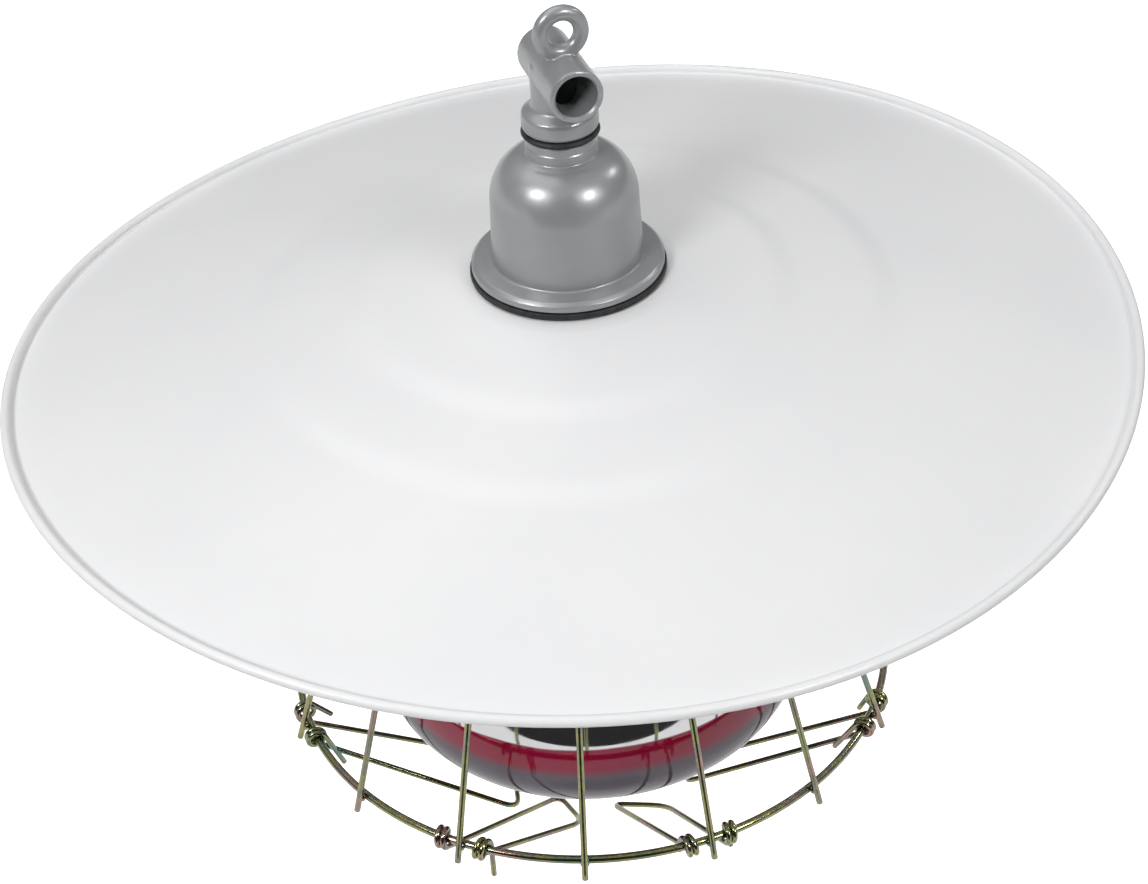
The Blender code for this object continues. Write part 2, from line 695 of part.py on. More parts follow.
def build():
    clear_scene()
    parts = collection("heat_lamp")
    cutters = collection("cutters")
    looks = {
        "grey_plastic": material("grey_plastic", (0.27, 0.28, 0.29), 0.38),
        "black_rubber": material("black_rubber", (0.02, 0.02, 0.02), 0.7),
        "white_enamel": material("white_enamel", (0.86, 0.86, 0.87), 0.3),
        "zinc": material("yellow_zinc", (0.45, 0.41, 0.22), 0.3, 1.0),
        "ceramic": material("ceramic", (0.85, 0.83, 0.78), 0.35),
        "brass": material("brass", (0.72, 0.55, 0.25), 0.3, 1.0),
        "steel": material("steel", (0.6, 0.6, 0.6), 0.3, 1.0),
        "bulb": material("ruby_glass", (0.3, 0.02, 0.04), 0.08),
        "aluminium": material("aluminium", (0.75, 0.75, 0.75), 0.35, 1.0),
        "black_glass": material("black_glass", (0.02, 0.02, 0.03), 0.2),
        "solder": material("solder", (0.6, 0.6, 0.6), 0.4, 1.0),
        "clear_glass": material("clear_glass", (0.8, 0.85, 0.85), 0.05),
        "tungsten": material("tungsten", (0.25, 0.25, 0.26), 0.45, 1.0),
    }
    frame = place(bpy.data.objects.new("rim_plane", None), None, None, parts)
    frame.location = (0.0, EYE_FORWARD * MM, -RIM_DROP * MM)
    bulb_axis = place(bpy.data.objects.new("bulb_axis", None), None, frame, parts)

    cable_cap(looks["grey_plastic"], frame, parts, cutters)
    seal = arc(SEAL_R, SEAL_Z, SEAL_WIRE_R, 90, -270, 8)[:-1]
    turned("neck_seal", seal, looks["black_rubber"], frame, parts, segments=28)
    holder_shell(looks["grey_plastic"], frame, parts)
    flat_ring(
        "flange_gasket", GASKET_R, CLEAR_HOLE_R, GASKET_TOP, GASKET_BOTTOM,
        looks["black_rubber"], frame, parts,
    )
    shade(looks["white_enamel"], frame, parts)
    ring_nut(looks["grey_plastic"], frame, parts, cutters)
    lamp_insert(looks, frame, parts, cutters)
    centre_contact(looks["brass"], frame, parts)
    bulb(looks, bulb_axis, parts)
    guard(looks, frame, parts)
    petals(looks, frame, parts)


build()
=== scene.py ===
"""The finished look of the hanging heat lamp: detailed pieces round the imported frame, their
materials, the studio and the camera. Lengths are in millimetres from the lamp's axis and above the
plane of the shade's rim unless a name says otherwise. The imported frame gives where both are."""

import json
from math import atan2, ceil, cos, pi, radians, sin, tan

import bmesh
import bpy
from mathutils import Matrix, Vector


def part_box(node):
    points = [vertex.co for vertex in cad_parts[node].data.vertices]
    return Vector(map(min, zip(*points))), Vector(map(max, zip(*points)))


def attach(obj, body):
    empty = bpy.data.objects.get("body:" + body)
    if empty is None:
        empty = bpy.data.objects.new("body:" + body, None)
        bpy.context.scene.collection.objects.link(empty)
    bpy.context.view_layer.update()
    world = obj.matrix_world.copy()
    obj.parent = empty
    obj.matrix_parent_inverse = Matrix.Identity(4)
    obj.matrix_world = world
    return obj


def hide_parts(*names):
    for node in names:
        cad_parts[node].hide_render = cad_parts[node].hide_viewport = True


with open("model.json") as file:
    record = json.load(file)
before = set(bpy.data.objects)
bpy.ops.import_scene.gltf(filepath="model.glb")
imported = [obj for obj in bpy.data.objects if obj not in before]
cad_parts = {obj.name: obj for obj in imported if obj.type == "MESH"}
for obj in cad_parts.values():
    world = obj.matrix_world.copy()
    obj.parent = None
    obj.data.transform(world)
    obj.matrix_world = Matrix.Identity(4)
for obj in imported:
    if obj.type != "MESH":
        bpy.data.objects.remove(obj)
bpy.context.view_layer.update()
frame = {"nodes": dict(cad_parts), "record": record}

MM = 0.001
ON_AXIS = 1e-6
CLAMP_TOP = 18.2
RIM_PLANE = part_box("guard_clamp_ring")[1].z - CLAMP_TOP * MM
AXIS_Y = (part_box("guard_clamp_ring")[0].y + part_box("guard_clamp_ring")[1].y) / 2

# The camera, in metres and degrees, with its lens and sensor in millimetres
CAMERA_AT = (-0.136057, -0.464411, 0.23409)
CAMERA_TURN = (53.28368, 2.81594, -18.0984)
CAMERA_LENS = 68.99
CAMERA_SENSOR = 36.0
CAMERA_CLIP = 0.01

# The studio, in metres and degrees
ROOM_HALF = 6.0
ROOM_HEIGHT = 9.0
ROOM_DROP = 3.0
BOUNCE_DROP = 0.75
STUDIO_CENTRE_Z = -0.045
LIGHTS_AIM = Vector((0.0, 0.0, -0.09))
CARD_DISTANCE = 1.45
CARD_BRIGHT = 0.9
WORLD_TONES = ((0.0, 0.9), (0.49, 0.95), (0.51, 0.22), (0.68, 0.17), (0.85, 0.41), (1.0, 0.52))
OVERHEAD = ((-0.3, 0.55, 1.65), 1.6, 9.8)
# Lights as name, azimuth, elevation, distance, width and watts
SHADING_LIGHTS = (
    ("key", -140.0, 37.0, 1.3, 0.36, 7.4),
    ("fill", -60.0, 40.0, 1.2, 0.40, 2.6),
)
SHINE_LIGHTS = (
    ("left_box", -160.0, 40.5, 1.2, 0.30, 7.6),
    ("right_box", -60.0, 35.0, 1.2, 0.25, 6.2),
    ("back_box", 10.0, 32.0, 1.2, 0.13, 1.6),
)

# Shade
SHADE_R = 149.75
SHADE_SHEET = 0.8
SHADE_SEAT_R = 30.0
SHADE_SEAT_TOP = 19.3
SHADE_HOLE_R = 19.3
SHADE_STEP_RADII = (57.0, 83.0)
SHADE_STEP_DROP = 0.9
SHADE_STEP_HALF_WIDTH = 4.5
BEAD_R = 1.35
BEAD_Z = 0.2
BEAD_TURN = (196, -128)
SHADE_FOOT_R = SHADE_R - 2 * BEAD_R
SHADE_FOOT_Z = BEAD_Z - BEAD_R + 0.4
SHADE_RADII = (
    SHADE_HOLE_R, 24.0, 28.0, SHADE_SEAT_R,
    *(31.0 + i for i in range(60)), *(93.0 + 3.0 * i for i in range(17)),
    SHADE_FOOT_R - 1.2, SHADE_FOOT_R - 0.5,
)
WARP_RISE = 3.9
WARP_RISE_AT = 19.0
WARP_WIDEN = 1.8
WARP_WIDEN_AT = 32.0
WARP_GROWTH = 1.5

# Holder. Profiles are lists of (radius, height) or (radius, height, fillet).
NECK_R = 9.0
NECK_BORE_R = 7.6
NECK_PROFILE = (
    (NECK_BORE_R, 59.45), (8.55, 59.45, 0.2), (NECK_R, 59.0, 0.3), (NECK_R, 57.2, 0.15),
    (NECK_R + 0.22, 56.9, 0.15), (NECK_R + 0.22, 54.4, 0.5), (10.6, 53.9),
)
DOME_FOOT_R = 19.2
DOME_FOOT_Z = 41.0
DOME_TOP = 54.0
DOME_STEPS = 22
DOME_TURN = 84
SKIRT_R = 19.8
FLANGE_R = 25.25
FLANGE_TOP = 24.1
FLANGE_BOTTOM = 21.65
BARREL_R = 18.6
BARREL_BOTTOM = 7.9
SKIRT_PROFILE = (
    (19.22, 40.0), (SKIRT_R, 25.6, 0.0), (SKIRT_R + 0.1, 24.5, 0.9), (SKIRT_R + 1.4, FLANGE_TOP + 0.25, 0.3),
    (FLANGE_R - 1.0, FLANGE_TOP, 0.8), (FLANGE_R, FLANGE_TOP - 0.9, 0.6), (FLANGE_R, FLANGE_BOTTOM, 0.2),
    (BARREL_R, FLANGE_BOTTOM), (BARREL_R, BARREL_BOTTOM), (17.1, BARREL_BOTTOM), (17.1, 40.0),
)
BELL_WALL = (2.2, 2.0)
NECK_FLOOR = 51.6
NUB_TURN = -134.3
NUB_AT = (18.4, 45.0)
NUB_R = 0.35

# Cable cap
EYE_CENTRE_Z = 89.0
EYE_FORWARD = 5.0
EYE_R = 5.2
EYE_WIRE_R = 2.0
TUBE_Z = 76.8
TUBE_R = 6.85
TUBE_BORE_R = 5.35
TUBE_FRONT = 16.2
TUBE_BACK = 12.5
CAP_PROFILE = (
    (0.0, TUBE_Z + 2.0), (6.95, TUBE_Z + 2.0), (6.95, 67.6, 0.6), (9.55, 66.0, 0.25), (9.8, 65.2),
    (9.8, 62.3, 0.3), (9.4, 61.4, 0.3), (8.9, 61.25), (7.3, 61.25), (7.3, 53.0), (0.0, 53.0),
)
TUBE_PROFILE = (
    (0.0, TUBE_FRONT), (TUBE_R, TUBE_FRONT), (TUBE_R, -TUBE_BACK + 1.2), (TUBE_R - 0.35, -TUBE_BACK + 0.45),
    (TUBE_R - 1.1, -TUBE_BACK), (0.0, -TUBE_BACK),
)
MOUTH = TUBE_FRONT + 2.0
BORE_PROFILE = (
    (0.0, MOUTH), (TUBE_BORE_R + 0.45 + 1.6, MOUTH), (TUBE_BORE_R + 0.45, TUBE_FRONT),
    (TUBE_BORE_R, TUBE_FRONT - 0.5), (TUBE_BORE_R, -TUBE_BACK + 3.4), (TUBE_BORE_R - 0.5, -TUBE_BACK + 3.0),
    (0.0, -TUBE_BACK + 3.0),
)
WAY_R = 5.1
WAY_PROFILE = ((0.0, TUBE_Z), (WAY_R, TUBE_Z), (WAY_R, 51.0), (0.0, 51.0))
SCOOP_PROFILE = (
    (0.0, TUBE_Z - 4.0), (10.2, TUBE_Z - 4.0), (10.2, TUBE_Z - 5.1), (5.4, TUBE_Z - 7.0), (0.0, TUBE_Z - 7.0),
)
SCOOP_NARROWING = 0.43
CAP_VOXEL = 0.33
CAP_SMOOTHING = 7

# Small rings
SEAL_AT = (9.05, 60.38)
SEAL_HALF_SIZE = (1.0, 0.78)
GASKET_PROFILE = ((19.3, 21.3), (25.75, 21.3, 0.45), (25.75, 19.62, 0.45), (19.3, 19.62), (19.3, 21.3))
CLAMP_PROFILE = (
    (19.3, 17.7), (19.3, 18.15, 0.15), (30.95, 18.15, 0.3), (30.95, 17.25, 0.3),
    (19.3, 17.25, 0.15), (19.3, 17.7),
)
NUT_PROFILE = (
    (18.95, 16.4), (19.4, 16.9, 0.1), (24.9, 16.9, 0.5), (24.9, 10.0, 0.9), (23.4, 9.95, 0.4),
    (22.6, 11.2, 0.3), (20.6, 11.2, 0.3), (20.2, 9.95, 0.3), (19.3, 9.95, 0.1),
)
NUT_GRIPS = 12
NUT_GRIP_R = 21.0
NUT_GRIP_DEPTH = 1.25
NUT_GRIP_START = 0.62
NUT_THREADS = 9
NUT_THREAD_R = 19.25
NUT_THREAD_DEPTH = 0.22
NUT_THREAD_BOTTOM = 10.1
NUT_THREAD_LENGTH = 6.2
RETAINER_PROFILE = (
    (14.75, 9.2), (14.75, 10.15, 0.1), (16.75, 10.15, 0.2), (16.75, 8.25, 0.35),
    (14.75, 8.25, 0.25), (14.75, 9.2),
)
RETAINER_NOTCHES = 4
RETAINER_NOTCH_Z = 8.9
RETAINER_NOTCH_DEPTH = 0.6
RETAINER_NOTCH_START = 0.9

# Guard
GUARD_TURN = 3.0
HOOP_R = 86.4
HOOP_Z = -111.5
HOOP_WIRE_R = 1.15
RIB_COUNT = 16
RIB_WIRE_R = 0.9
RIB_START = (27.0, 15.9)
RIB_CORNER = (47.0, 11.4)
RIB_BEND = 6.0
RIB_GAP = 0.3
RIB_END = 4.1
WELD_HALF_SIZES = (1.35, 0.85, 1.35)
WELD_INSET = 0.1
FOOT_HALF_SIZES = (1.9, 1.2, 0.9)
FOOT_AT = (29.0, 15.75)
FOOT_RISE = 0.75
WIRE_END_ROUNDING = 0.35
PETAL_WIRE_R = 0.8
PETAL_EYE_R = 2.45
PETAL_EYE_Y = 4.4
PETAL_EYE_PITCH = 1.75
PETAL_CORNER_R = 5.5
PETAL_SLOPE = 29.0
PETAL_SHAPES = (
    ((61, -9), (54, 9), (25, 9), (20, 10)),
    ((60, -10), (55, 8), (20, 8), (30, 9)),
    ((61, -8), (53, 9), (30, 10), (25, 8)),
    ((61, -9), (54, 10), (25, 9), (15, 9)),
    ((68, 2), (61, 26), (40, 9), (20, 13)),
    ((62, 3), (47, 16.5), (10, 5), (0, 12)),
    ((59, -9), (43, 2.5), (10, 5), (0, 8)),
    ((61, -16), (56, -4), (30, 12), (25, 8)),
)

# Bulb
BULB_R = 62.4
BULB_WIDEST_Z = -106.5
BULB_FRONT_Z = -136.4
BULB_FACE_POWER = 0.9
BULB_FACE_STEPS = 30
GLASS = 1.0
BULB_OUTLINE = (
    (12.7, 11.0),
    (13.6, 8.0),
    (15.4, 3.0),
    (17.6, -6.0),
    (22.0, -20.0),
    (31.0, -38.0),
    (42.0, -57.0),
    (52.5, -75.0),
    (59.8, -91.0),
    (61.8, -99.0),
    (62.4, -106.5),
)
# Heights on the bulb where its look changes, in metres below the rim's plane. Below the mirror the ruby glass
# is painted by height: a bright crimson stripe of painted light, then dusky grey-violet painted reflection,
# then the ruby face.
MIRROR_EDGE = (-0.0963, -0.0957)
PAINTED_GLOW_EDGE = (-0.1064, -0.1022)
PAINTED_REFLECTION_EDGE = (-0.131, -0.117)


# ---------------------------------------------------------------- meshes


def placed(point):
    """A point of this file, in metres from the row's origin."""
    x, y, z = point
    return (x * MM, y * MM + AXIS_Y, z * MM + RIM_PLANE)


def mesh_piece(name, points, faces, look, stands_for, slot, body="fixture", sharp=38.0):
    """A piece from points in mm, smooth except along edges sharper than the given angle."""
    mesh = bpy.data.meshes.new(name)
    mesh.from_pydata([placed(p) for p in points], [], faces)
    obj = bpy.data.objects.new(name, mesh)
    bpy.context.scene.collection.objects.link(obj)
    finish_mesh(obj, sharp)
    dress(obj, look, body, stands_for)


def finish_mesh(obj, sharp):
    """Faces turned outwards, and smooth except along sharp edges."""
    shape = bmesh.new()
    shape.from_mesh(obj.data)
    bmesh.ops.remove_doubles(shape, verts=shape.verts, dist=0.000001)
    bmesh.ops.recalc_face_normals(shape, faces=shape.faces)
    for face in shape.faces:
        face.smooth = True
    for edge in shape.edges:
        edge.smooth = edge.calc_face_angle(pi) < radians(sharp)
    shape.to_mesh(obj.data)
    shape.free()


def dress(obj, look, body, stands_for):
    """The piece's material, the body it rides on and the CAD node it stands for."""
    obj.data.materials.clear()
    obj.data.materials.append(look)
    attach(obj, body)
    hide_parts(stands_for)


def arc(centre_r, centre_z, radius, start, end, steps):
    """Points round part of a circle, from the start to the end angle in degrees."""
    turns = [radians(start + (end - start) * i / steps) for i in range(steps + 1)]
    return [(centre_r + radius * cos(t), centre_z + radius * sin(t)) for t in turns]


def filleted(corners, steps=5):
    """A profile with round corners, from (radius, height) or (radius, height, fillet)."""
    made = []
    for i, corner in enumerate(corners):
        here = Vector(corner[:2])
        fillet = corner[2] if len(corner) > 2 else 0.0
        if not fillet or i in (0, len(corners) - 1):
            made.append(tuple(here))
            continue
        back = Vector(corners[i - 1][:2]) - here
        on = Vector(corners[i + 1][:2]) - here
        half = back.angle(on) / 2
        reach = min(fillet / tan(half), 0.48 * back.length, 0.48 * on.length)
        start = here + back.normalized() * reach
        end = here + on.normalized() * reach
        for k in range(steps + 1):
            t = k / steps
            made.append(tuple(start.lerp(here, t).lerp(here.lerp(end, t), t)))
    return made


def spaced(points, gap):
    """The same line with points at most gap apart."""
    made = [Vector(points[0])]
    for a, b in zip(points, points[1:]):
        a, b = Vector(a), Vector(b)
        count = max(1, ceil((b - a).length / gap))
        made += [a.lerp(b, k / count) for k in range(1, count + 1)]
    return made


def through(points, per_span):
    """A smooth line through the points (Catmull-Rom)."""
    points = [Vector(p) for p in points]
    count = len(points)

    def at(i):
        if i < 0:
            return points[0] * 2 - points[1]
        if i >= count:
            return points[-1] * 2 - points[-2]
        return points[i]

    made = []
    for i in range(count - 1):
        a, b, c, d = (at(i + k) for k in (-1, 0, 1, 2))
        for k in range(per_span):
            t = k / per_span
            made.append(
                0.5 * (2 * b + (c - a) * t + (2 * a - 5 * b + 4 * c - d) * t * t
                       + (3 * b - a - 3 * c + d) * t * t * t)
            )
    made.append(points[-1])
    return made


def lathe_mesh(profile, segments, closed=True, place=None):
    """Points and faces of a profile swept round Z, with triangles where the profile meets the axis.

    The place function, where given, moves each point of the plain turned shape.
    """
    turns = [2 * pi * i / segments for i in range(segments)]
    place = place or (lambda r, z, turn: (r * cos(turn), r * sin(turn), z))
    points = [place(r, z, turn) for turn in turns for r, z in profile]
    count = len(profile)
    faces = []
    for i in range(segments):
        here, after = i * count, (i + 1) % segments * count
        for j in range(count if closed else count - 1):
            k = (j + 1) % count
            corners = [here + j, here + k, after + k, after + j]
            if profile[j][0] < ON_AXIS:
                corners = corners[:3]
            elif profile[k][0] < ON_AXIS:
                corners = [here + j, here + k, after + j]
            faces.append(corners)
    return points, faces


def lathe(name, profile, segments, look, closed=True, place=None, **more):
    points, faces = lathe_mesh(profile, segments, closed, place)
    return mesh_piece(name, points, faces, look, **more)


def tube_mesh(points, radius, sides, closed=False):
    """A round wire along the points, with ends cut square and their edges rubbed round."""
    points = [Vector(p) for p in points]
    count = len(points)
    if closed:
        along = [(points[(i + 1) % count] - points[i - 1]).normalized() for i in range(count)]
    else:
        along = [
            (points[min(i + 1, count - 1)] - points[max(i - 1, 0)]).normalized() for i in range(count)
        ]
    side = along[0].orthogonal().normalized()
    rings = []
    for i in range(count):
        side = (side - along[i] * side.dot(along[i])).normalized()
        rings.append((points[i], side.copy(), along[i].cross(side), radius))
    if not closed:
        edge = radius * WIRE_END_ROUNDING
        rubbed = [(edge * (1 - sin(a)), radius - edge * (1 - cos(a)))
                  for a in (radians(90), radians(60), radians(30), 0.0)]
        first, last = rings[0], rings[-1]
        start = [(points[0] + along[0] * inset, *first[1:3], size) for inset, size in rubbed]
        finish = [(points[-1] - along[-1] * inset, *last[1:3], size) for inset, size in rubbed]
        rings = start + rings[1:-1] + list(reversed(finish))
    turn_back = 0.0
    if closed:
        final = (side - along[0] * side.dot(along[0])).normalized()
        start = rings[0][1]
        turn_back = atan2(final.cross(start).dot(along[0]), final.dot(start))
    made, faces = [], []
    for i, (spot, u, v, size) in enumerate(rings):
        twist = turn_back * i / len(rings)
        for k in range(sides):
            t = 2 * pi * k / sides + twist
            made.append(tuple(spot + (u * cos(t) + v * sin(t)) * size))
    spans = len(rings) if closed else len(rings) - 1
    for i in range(spans):
        here, after = i * sides, (i + 1) % len(rings) * sides
        for k in range(sides):
            m = (k + 1) % sides
            faces.append((here + k, here + m, after + m, after + k))
    if not closed:
        faces.append(tuple(range(sides))[::-1])
        faces.append(tuple(range(len(made) - sides, len(made))))
    return made, faces


def blob_mesh(centre, sizes, axes, rings=6, sides=12):
    """An egg-shaped blob of weld metal, with its half-sizes along three axes."""
    points, faces = [], []
    for i in range(rings + 1):
        a = pi * i / rings
        for k in range(sides):
            t = 2 * pi * k / sides
            local = (sin(a) * cos(t), sin(a) * sin(t), cos(a))
            spot = Vector(centre)
            for amount, size, axis in zip(local, sizes, axes):
                spot = spot + axis * amount * size
            points.append(tuple(spot))
    for i in range(rings):
        for k in range(sides):
            m = (k + 1) % sides
            faces.append((i * sides + k, i * sides + m, (i + 1) * sides + m, (i + 1) * sides + k))
    return points, faces


def joined(*meshes):
    """The meshes as one, without a union."""
    points, faces = [], []
    for more_points, more_faces in meshes:
        base = len(points)
        points += more_points
        faces += [tuple(i + base for i in face) for face in more_faces]
    return points, faces


def turned_to(points, matrix):
    return [tuple(matrix @ Vector(p)) for p in points]


# ---------------------------------------------------------------- materials


class Look:
    """A node material with a few shorthand steps."""

    def __init__(self, name, **settings):
        self.material = bpy.data.materials.new(name)
        self.material.use_nodes = True
        self.tree = self.material.node_tree
        self.shader = self.tree.nodes["Principled BSDF"]
        for key, value in settings.items():
            self.shader.inputs[key.replace("_", " ")].default_value = value

    def add(self, kind, **settings):
        node = self.tree.nodes.new("ShaderNode" + kind)
        for key, value in settings.items():
            setattr(node, key, value)
        return node

    def link(self, a, b):
        self.tree.links.new(a, b)

    def where(self):
        return self.add("TexCoord").outputs["Object"]

    def noise(self, scale, detail, roughness=0.55):
        """Noise by object position; the scale is in features per metre."""
        node = self.add("TexNoise")
        node.inputs["Scale"].default_value = scale
        node.inputs["Detail"].default_value = detail
        node.inputs["Roughness"].default_value = roughness
        self.link(self.where(), node.inputs["Vector"])
        return node.outputs["Fac"]

    def ramp(self, value, stops):
        node = self.add("ValToRGB")
        ramp = node.color_ramp
        while len(ramp.elements) < len(stops):
            ramp.elements.new(0.5)
        for element, (spot, colour) in zip(ramp.elements, stops):
            element.position = spot
        for element, (spot, colour) in zip(ramp.elements, stops):
            element.color = (*colour, 1.0) if isinstance(colour, tuple) else (colour,) * 3 + (1.0,)
        self.link(value, node.inputs["Fac"])
        return node.outputs["Color"]

    def spread(self, value, low, high):
        """The value's middle range stretched from low to high."""
        node = self.add("MapRange")
        node.inputs["From Min"].default_value = 0.3
        node.inputs["From Max"].default_value = 0.7
        node.inputs["To Min"].default_value = low
        node.inputs["To Max"].default_value = high
        self.link(value, node.inputs["Value"])
        return node.outputs["Result"]

    def between(self, value, from_low, from_high, low=0.0, high=1.0):
        """A smooth step from low to high as the value crosses a range."""
        node = self.add("MapRange")
        node.interpolation_type = "SMOOTHSTEP"
        node.inputs["From Min"].default_value = from_low
        node.inputs["From Max"].default_value = from_high
        node.inputs["To Min"].default_value = low
        node.inputs["To Max"].default_value = high
        self.link(value, node.inputs["Value"])
        return node.outputs["Result"]

    def mix(self, share, a, b):
        node = self.add("Mix", data_type="RGBA")
        for key, value in (("Factor", share), ("A", a), ("B", b)):
            socket = [s for s in node.inputs if s.name == key and s.enabled][0]
            if isinstance(value, tuple):
                socket.default_value = (*value, 1.0)
            elif isinstance(value, (int, float)):
                socket.default_value = value if key == "Factor" else (value, value, value, 1.0)
            else:
                self.link(value, socket)
        return [s for s in node.outputs if s.enabled][0]

    def math(self, operation, a, b=0.0):
        node = self.add("Math", operation=operation)
        for socket, value in zip(node.inputs, (a, b)):
            if isinstance(value, (int, float)):
                socket.default_value = value
            else:
                self.link(value, socket)
        return node.outputs["Value"]

    def height(self):
        split = self.add("SeparateXYZ")
        self.link(self.where(), split.inputs["Vector"])
        return split.outputs["Z"]

    def colour(self, value):
        self.link(value, self.shader.inputs["Base Color"])

    def rough(self, value):
        self.link(value, self.shader.inputs["Roughness"])

    def bump(self, value, distance, strength=1.0):
        """Relief of the given depth in metres."""
        node = self.add("Bump")
        node.inputs["Strength"].default_value = strength
        node.inputs["Distance"].default_value = distance
        self.link(value, node.inputs["Height"])
        before = self.shader.inputs["Normal"].links
        if before:
            self.link(before[0].from_socket, node.inputs["Normal"])
        self.link(node.outputs["Normal"], self.shader.inputs["Normal"])


def grey_plastic(name):
    """Grey moulded plastic with a faint silvery gloss, cloudy tone and slow waves."""
    base = (0.325, 0.336, 0.345)
    look = Look(name, Metallic=0.35, Specular_IOR_Level=0.5, Coat_Weight=0.3, Coat_Roughness=0.16)
    cloud = look.noise(90, 4)
    low = tuple(c * 0.95 for c in base)
    high = tuple(c * 1.05 for c in base)
    look.colour(look.ramp(cloud, [(0.3, low), (0.7, high)]))
    look.rough(look.spread(look.noise(260, 3), 0.30, 0.39))
    look.bump(look.noise(170, 2), 0.00003, 0.35)
    return look.material


def white_enamel(name):
    """Stove enamel on spun sheet: faint orange peel, faint spinning rings, a little dust."""
    look = Look(name, Specular_IOR_Level=0.45, Coat_Weight=0.12, Coat_Roughness=0.18)
    cloud = look.noise(14, 4)
    tone = look.ramp(cloud, [(0.3, (0.80, 0.805, 0.815)), (0.7, (0.84, 0.842, 0.848))])
    specks = look.ramp(look.noise(900, 2, 0.7), [(0.70, 0.0), (0.80, 1.0)])
    look.colour(look.mix(look.math("MULTIPLY", specks, 0.12), tone, (0.55, 0.54, 0.52)))
    look.rough(look.spread(look.noise(60, 4), 0.36, 0.46))
    split = look.add("SeparateXYZ")
    look.link(look.where(), split.inputs["Vector"])
    across = look.math("SUBTRACT", split.outputs["Y"], AXIS_Y)
    squares = look.math("ADD", look.math("MULTIPLY", split.outputs["X"], split.outputs["X"]),
                        look.math("MULTIPLY", across, across))
    rings = look.math("SINE", look.math("MULTIPLY", look.math("SQRT", squares), 1900.0))
    look.bump(rings, 0.000004, 0.25)
    look.bump(look.noise(420, 2), 0.00002, 0.35)
    return look.material


def yellow_zinc(name):
    """Bright zinc with a yellow passivate: gold and olive, with green and pink interference."""
    look = Look(name, Metallic=1.0, Coat_Weight=0.3, Coat_Roughness=0.08)
    slow = look.noise(60, 3, 0.6)
    fine = look.noise(420, 3, 0.6)
    blend = look.mix(0.3, slow, fine)
    stops = [
        (0.32, (0.19, 0.27, 0.23)),
        (0.41, (0.25, 0.30, 0.16)),
        (0.48, (0.37, 0.34, 0.15)),
        (0.54, (0.22, 0.24, 0.19)),
        (0.60, (0.42, 0.28, 0.22)),
        (0.68, (0.20, 0.28, 0.26)),
    ]
    look.colour(look.ramp(blend, stops))
    look.rough(look.spread(look.noise(500, 3), 0.13, 0.24))
    look.bump(look.noise(300, 3, 0.6), 0.00001, 0.25)
    return look.material


def rubber(name):
    look = Look(name, Specular_IOR_Level=0.4)
    look.colour(look.ramp(look.noise(500, 3), [(0.3, (0.012, 0.012, 0.013)), (0.7, (0.03, 0.03, 0.032))]))
    look.rough(look.spread(look.noise(900, 2), 0.45, 0.65))
    look.bump(look.noise(2500, 2), 0.00002, 0.4)
    return look.material


def reflector_glass(name):
    """The bulb, by height: mirror-coated glass, a bright crimson stripe of painted light, dusky grey-violet
    painted reflection and a ruby face.
    """
    look = Look(name, Roughness=0.04, IOR=1.5, Coat_Weight=0.1, Coat_Roughness=0.02)
    height = look.math("SUBTRACT", look.height(), RIM_PLANE)
    wave = look.math("MULTIPLY", look.math("SUBTRACT", look.noise(35, 2), 0.5), 0.0012)
    height = look.math("ADD", height, wave)
    mirror = look.between(height, *MIRROR_EDGE)
    painted_glow = look.between(height, *PAINTED_GLOW_EDGE)
    # Painted light and reflection: bright crimson just below the mirror, over dusky grey-violet that stands
    # for reflected surroundings.
    glass = look.mix(painted_glow, (0.105, 0.088, 0.112), (0.29, 0.003, 0.036))
    face = look.between(height, *PAINTED_REFLECTION_EDGE)
    # The ruby face in its own dark colour, below the painted reflection.
    glass = look.mix(face, (0.100, 0.004, 0.012), glass)
    haze = look.spread(look.noise(120, 3), 0.0, 1.0)
    silver = look.mix(haze, (0.66, 0.66, 0.67), (0.74, 0.74, 0.75))
    look.colour(look.mix(mirror, glass, silver))
    look.link(mirror, look.shader.inputs["Metallic"])
    look.rough(look.mix(mirror, 0.035, look.spread(look.noise(200, 3), 0.05, 0.09)))
    look.bump(look.noise(60, 2), 0.00006, 0.2)
    return look.material


def plain_metal(name, low, high, rough_low, rough_high, scale=300):
    look = Look(name, Metallic=1.0)
    look.colour(look.ramp(look.noise(scale, 4), [(0.3, low), (0.7, high)]))
    look.rough(look.spread(look.noise(scale * 2, 3), rough_low, rough_high))
    look.bump(look.noise(scale * 4, 2), 0.00001, 0.3)
    return look.material


def ceramic(name):
    look = Look(name, Coat_Weight=0.5, Coat_Roughness=0.1)
    look.colour(look.ramp(look.noise(120, 4), [(0.3, (0.70, 0.67, 0.60)), (0.7, (0.80, 0.78, 0.72))]))
    look.rough(look.spread(look.noise(300, 3), 0.28, 0.42))
    look.bump(look.noise(500, 2), 0.00003, 0.4)
    return look.material


def dark_glass(name, low, high):
    look = Look(name, IOR=1.5, Coat_Weight=0.3, Coat_Roughness=0.05)
    look.colour(look.ramp(look.noise(200, 3), [(0.3, low), (0.7, high)]))
    look.rough(look.spread(look.noise(300, 3), 0.08, 0.16))
    look.bump(look.noise(150, 2), 0.00003, 0.2)
    return look.material


